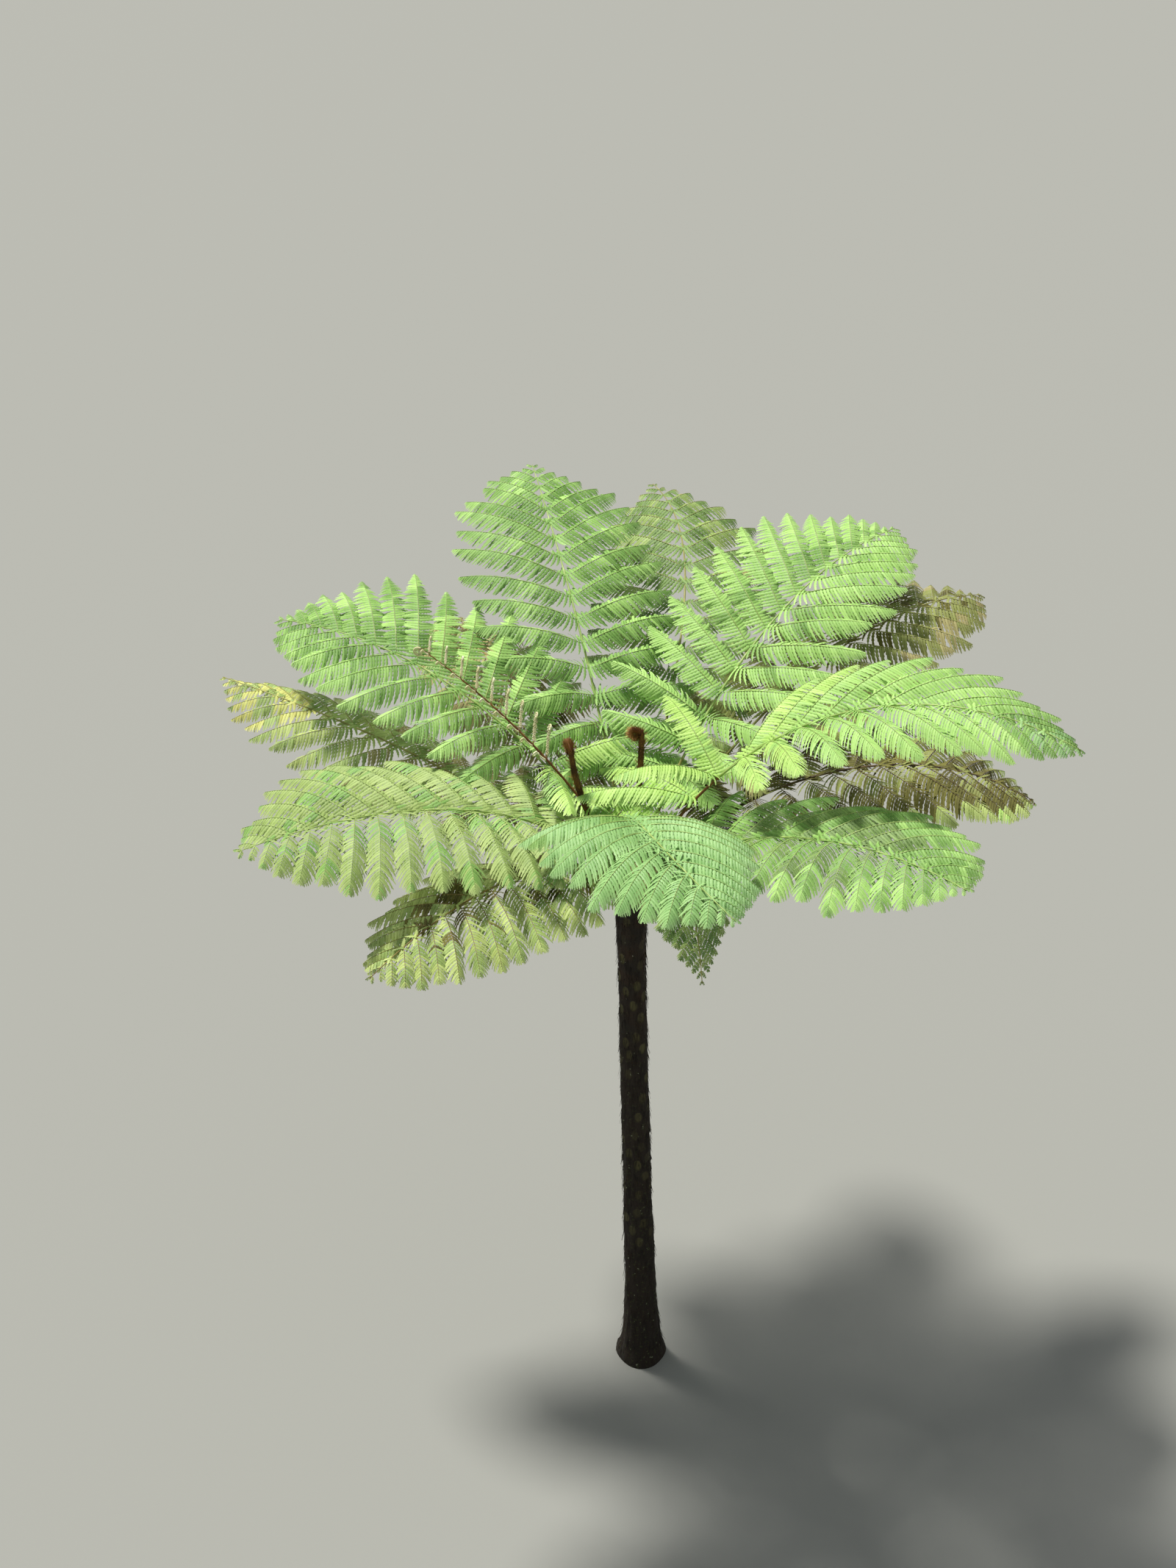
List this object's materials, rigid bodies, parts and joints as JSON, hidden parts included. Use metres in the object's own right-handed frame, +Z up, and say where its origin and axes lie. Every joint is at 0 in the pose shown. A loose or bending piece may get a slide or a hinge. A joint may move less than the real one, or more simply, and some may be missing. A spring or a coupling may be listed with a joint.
{
  "type": "tree fern",
  "caption": "Tree fern with a slender, slightly leaning trunk and a wide funnel of arching feathery fronds, with older drooping fronds below and curled young tips in the middle.",
  "frame": {"origin": "middle of the flat cut under the trunk, at ground level", "axes": "+Z up, -Y towards the side seen in the picture, +X to the right of that side"},
  "size_m": [4.538, 4.9924, 4.9287],
  "materials": {
    "bark": "rough fibrous trunk with leaf scars, dark brown to black with moss",
    "stalk": "satin golden brown to green stalk with a few scales at its foot",
    "scaly_stalk": "dull red-brown stalk covered in papery scales",
    "leaf": "soft matt to satin green leaf",
    "old_leaf": "dull olive, yellow and brown leaf",
    "young_leaf": "pale cream-brown coils, slightly hairy"
  },
  "bodies": {
    "root": {"trunk": "bark", "curled_tip_left": "scaly_stalk", "curled_tip_back": "scaly_stalk", "stalk_back": "stalk", "stalk_back_right": "stalk", "stalk_right": "stalk", "stalk_front_right": "stalk", "stalk_front": "stalk", "stalk_front_left": "stalk", "stalk_left": "stalk", "stalk_old_back": "stalk", "stalk_old_back_right": "stalk", "stalk_old_right": "stalk", "stalk_old_front_right": "stalk", "stalk_old_front_left": "stalk", "stalk_old_left": "stalk", "stalk_old_back_left": "stalk", "stalk_young": "scaly_stalk", "frond_young": "young_leaf", "frond_back": "leaf", "frond_back_right": "leaf", "frond_right": "leaf", "frond_front_right": "leaf", "frond_front": "leaf", "frond_front_left": "leaf", "frond_left": "leaf", "frond_old_back": "old_leaf", "frond_old_back_right": "old_leaf", "frond_old_right": "old_leaf", "frond_old_front_right": "old_leaf", "frond_old_front_left": "old_leaf", "frond_old_left": "old_leaf", "frond_old_back_left": "old_leaf"}
  },
  "joints": []
}
